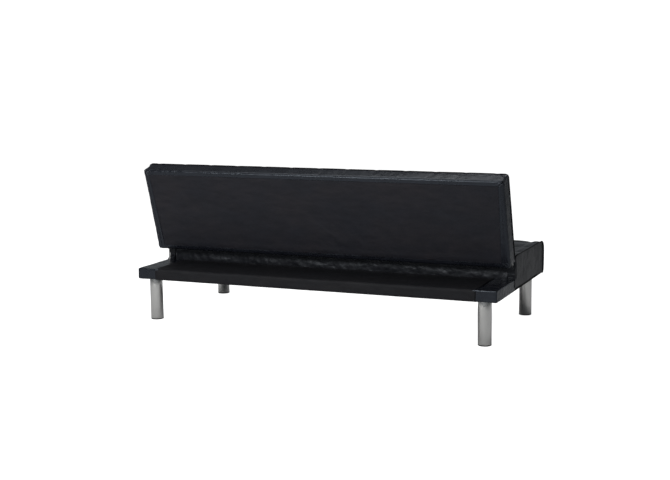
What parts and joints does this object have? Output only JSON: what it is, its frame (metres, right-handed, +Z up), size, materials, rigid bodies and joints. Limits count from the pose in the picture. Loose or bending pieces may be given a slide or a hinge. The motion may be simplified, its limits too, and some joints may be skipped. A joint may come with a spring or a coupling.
{
  "type": "futon sofa bed",
  "caption": "Armless sofa bed with a padded seat on a low platform, a click-clack backrest that folds flat, and round metal legs.",
  "frame": {"origin": "on the floor, in the middle of the sofa's footprint with the backrest upright", "axes": "+Z up, -Y the way a person sitting on it faces, +X along the sofa's length, to the left as seen from behind"},
  "size_m": [1.786, 0.7932, 0.7406],
  "materials": {
    "faux_leather": "black coated faux leather with a fine grain and a soft sheen",
    "piping": "black faux-leather piping",
    "dark_fabric": "matt black non-woven fabric",
    "satin_chrome": "satin chrome on steel tube",
    "zinc_steel": "zinc-plated pressed steel",
    "black_plastic": "moulded black plastic",
    "pine": "planed softwood",
    "plywood": "unfinished plywood",
    "foam": "upholstery foam"
  },
  "bodies": {
    "base": {"base_cross_rail_left": "pine", "base_cross_rail_right": "pine", "base_deck": "plywood", "base_dust_sheet": "dark_fabric", "base_rail_front": "pine", "base_rail_left": "pine", "base_rail_rear": "pine", "base_rail_right": "pine", "bracket_bolt_1_left": "zinc_steel", "bracket_bolt_1_right": "zinc_steel", "bracket_bolt_2_left": "zinc_steel", "bracket_bolt_2_right": "zinc_steel", "corner_block_front_left": "pine", "corner_block_front_right": "pine", "corner_block_rear_left": "pine", "corner_block_rear_right": "pine", "foot_cap_front_left": "black_plastic", "foot_cap_front_right": "black_plastic", "foot_cap_rear_left": "black_plastic", "foot_cap_rear_right": "black_plastic", "hinge_bracket_left": "zinc_steel", "hinge_bracket_right": "zinc_steel", "hinge_detent_disc_left": "zinc_steel", "hinge_detent_disc_right": "zinc_steel", "hinge_pin_left": "zinc_steel", "hinge_pin_right": "zinc_steel", "leg_front_left": "satin_chrome", "leg_front_right": "satin_chrome", "leg_rear_left": "satin_chrome", "leg_rear_right": "satin_chrome", "leg_stud_front_left": "zinc_steel", "leg_stud_front_right": "zinc_steel", "leg_stud_rear_left": "zinc_steel", "leg_stud_rear_right": "zinc_steel", "seat_cover": "faux_leather", "seat_foam": "foam", "seat_piping_left": "piping", "seat_piping_right": "piping", "seat_rail_front": "pine", "seat_rail_left": "pine", "seat_rail_rear": "pine", "seat_rail_right": "pine", "shelf_end_wrap_left": "faux_leather", "shelf_end_wrap_right": "faux_leather", "shelf_fabric": "dark_fabric"},
    "backrest": {"arm_bolt_1_left": "zinc_steel", "arm_bolt_1_right": "zinc_steel", "arm_bolt_2_left": "zinc_steel", "arm_bolt_2_right": "zinc_steel", "back_cover": "faux_leather", "back_foam": "foam", "back_panel": "dark_fabric", "back_piping": "piping", "back_rail_bottom": "pine", "back_rail_top": "pine", "back_stile_centre": "pine", "back_stile_left": "pine", "back_stile_right": "pine", "hinge_arm_left": "zinc_steel", "hinge_arm_right": "zinc_steel"}
  },
  "joints": [
    {"name": "backrest_fold", "type": "hinge", "parent": "base", "child": "backrest", "pos_m": [0, 0.1363, 0.3481], "axis": [-1, 0, 0], "range_deg": [-12, 73]}
  ]
}
